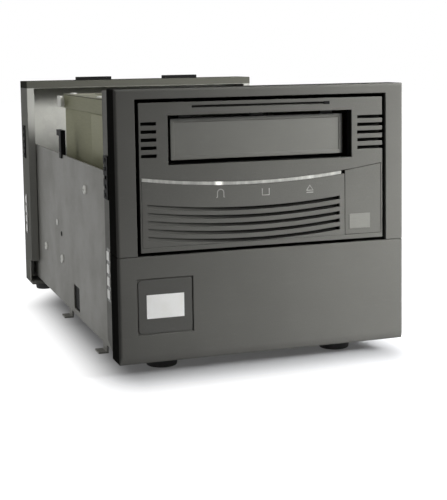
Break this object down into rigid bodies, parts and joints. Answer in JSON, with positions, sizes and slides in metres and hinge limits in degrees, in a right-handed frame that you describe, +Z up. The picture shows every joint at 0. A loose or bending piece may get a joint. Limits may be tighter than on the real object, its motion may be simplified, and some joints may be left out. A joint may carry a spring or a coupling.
{
  "type": "rack tape drive",
  "caption": "Cartridge tape drive on an open sheet-metal chassis, with a dark front moulding, a curved light strip, a slot with a flap, and a rear pan with a fan and sockets.",
  "frame": {"origin": "on the floor, under the middle of the whole box", "axes": "+Z up, -Y out of the front, +X to the right of someone facing the front"},
  "size_m": [0.1818, 0.306, 0.1645],
  "materials": {
    "front_moulding": "fine texture, dark warm grey",
    "badge_grey": "fine texture, dark grey",
    "label_white": "bare matt white label",
    "bezel_plastic": "fine texture, dark warm grey",
    "lamp_strip": "pale translucent strip",
    "badge_silver": "bare satin plate",
    "door_plastic": "satin, dark warm grey",
    "circuit_green": "green solder mask",
    "black_plastic": "satin black moulding",
    "lamp_clear": "tinted clear lamp body",
    "pin_steel": "ground steel",
    "spring_steel": "drawn wire",
    "cast_alloy": "chromated casting, olive tint",
    "cover_sheet": "chromated sheet, olive tint",
    "zinc_sheet": "zinc plated sheet",
    "bright_sheet": "bright plated sheet",
    "motor_steel": "plated can",
    "hub_plastic": "off-white moulding",
    "reel_plastic": "black moulding",
    "roller_alloy": "turned and polished",
    "head_ceramic": "polished dark head face",
    "coil_copper": "enamelled wire",
    "magnet_steel": "plated magnet",
    "supply_sheet": "plated case",
    "connector_metal": "tinned shell",
    "guard_wire": "bright wire",
    "contact_metal": "bright spring strip",
    "cable_grey": "grey ribbon cable",
    "cable_black": "black sleeved wires",
    "foot_rubber": "moulded rubber"
  },
  "bodies": {
    "chassis": {"front_frame": "front_moulding", "lower_panel": "front_moulding", "badge_plate": "badge_grey", "badge_label": "label_white", "drive_bezel": "bezel_plastic", "bezel_insert": "bezel_plastic", "light_bar": "lamp_strip", "indicator_board": "circuit_green", "eject_switch": "black_plastic", "indicator_leds": "lamp_clear", "door_pin": "pin_steel", "drive_base": "cast_alloy", "drive_cover": "cover_sheet", "drive_bottom_plate": "cover_sheet", "receiver": "bright_sheet", "reel_motors": "motor_steel", "roller_pins": "pin_steel", "head_base": "cast_alloy", "head_shafts": "pin_steel", "coil_magnet": "magnet_steel", "drive_circuit_board": "circuit_green", "board_standoffs": "roller_alloy", "board_parts": "black_plastic", "drive_sockets": "black_plastic", "chassis_tray": "zinc_sheet", "front_plate": "zinc_sheet", "drive_rails": "zinc_sheet", "power_supply": "supply_sheet", "rear_pan": "bright_sheet", "fan_frame": "black_plastic", "fan_guard": "guard_wire", "ac_inlet": "black_plastic", "power_switch": "black_plastic", "data_connectors": "connector_metal", "jack_screws": "pin_steel", "connector_board": "circuit_green", "id_selector": "black_plastic", "data_ribbon": "cable_grey", "power_wiring": "cable_black", "contact_strips": "contact_metal", "flange_clips": "black_plastic", "feet": "foot_rubber", "screws": "pin_steel"},
    "door": {"cartridge_door": "door_plastic", "door_spring": "spring_steel"},
    "eject": {"eject_button": "bezel_plastic", "name_badge": "badge_silver"},
    "supply": {"supply_hub": "hub_plastic"},
    "takeup": {"takeup_reel": "reel_plastic"},
    "head": {"head_carriage": "roller_alloy", "head_block": "head_ceramic", "voice_coil": "coil_copper"},
    "fan": {"fan_rotor": "black_plastic"},
    "rocker": {"power_rocker": "black_plastic"},
    "id_up": {"id_up_button": "hub_plastic"},
    "id_down": {"id_down_button": "hub_plastic"},
    "roller_1": {"guide_roller_1": "roller_alloy"},
    "roller_2": {"guide_roller_2": "roller_alloy"},
    "roller_3": {"guide_roller_3": "roller_alloy"},
    "roller_4": {"guide_roller_4": "roller_alloy"}
  },
  "joints": [
    {"name": "door_swing", "type": "hinge", "parent": "chassis", "child": "door", "pos_m": [-0.0015, -0.1433, 0.1495], "axis": [1, 0, 0], "range_deg": [0, 80], "stiffness_Nm_per_rad": 0.003, "springref_deg": -20.05},
    {"name": "eject_press", "type": "slide", "parent": "chassis", "child": "eject", "axis": [0, 1, 0], "range_m": [0, 0.0015], "stiffness_N_per_m": 600, "springref_m": -0.001},
    {"name": "supply_turn", "type": "hinge", "parent": "chassis", "child": "supply", "pos_m": [-0.0015, -0.0843, 0.113], "axis": [0, 0, 1], "continuous": true},
    {"name": "takeup_turn", "type": "hinge", "parent": "chassis", "child": "takeup", "pos_m": [-0.018, 0.01427, 0.113], "axis": [0, 0, 1], "continuous": true},
    {"name": "head_step", "type": "slide", "parent": "chassis", "child": "head", "axis": [0, 0, 1], "range_m": [-0.003, 0.003]},
    {"name": "fan_turn", "type": "hinge", "parent": "chassis", "child": "fan", "pos_m": [0.044, 0.1355, 0.117], "axis": [0, 1, 0], "continuous": true},
    {"name": "rocker_tip", "type": "hinge", "parent": "chassis", "child": "rocker", "pos_m": [-0.024, 0.147, 0.031], "axis": [1, 0, 0], "range_deg": [0, 16]},
    {"name": "id_up_press", "type": "slide", "parent": "chassis", "child": "id_up", "axis": [0, -1, 0], "range_m": [0, 0.001], "stiffness_N_per_m": 300, "springref_m": -0.001},
    {"name": "id_down_press", "type": "slide", "parent": "chassis", "child": "id_down", "axis": [0, -1, 0], "range_m": [0, 0.001], "stiffness_N_per_m": 300, "springref_m": -0.001},
    {"name": "roller_1_turn", "type": "hinge", "parent": "chassis", "child": "roller_1", "pos_m": [-0.045, -0.0179, 0.129], "axis": [0, 0, 1], "continuous": true},
    {"name": "roller_2_turn", "type": "hinge", "parent": "chassis", "child": "roller_2", "pos_m": [0.003, -0.0221, 0.129], "axis": [0, 0, 1], "continuous": true},
    {"name": "roller_3_turn", "type": "hinge", "parent": "chassis", "child": "roller_3", "pos_m": [0.02336, 0.00698, 0.129], "axis": [0, 0, 1], "continuous": true},
    {"name": "roller_4_turn", "type": "hinge", "parent": "chassis", "child": "roller_4", "pos_m": [0.02006, 0.03202, 0.129], "axis": [0, 0, 1], "continuous": true}
  ]
}
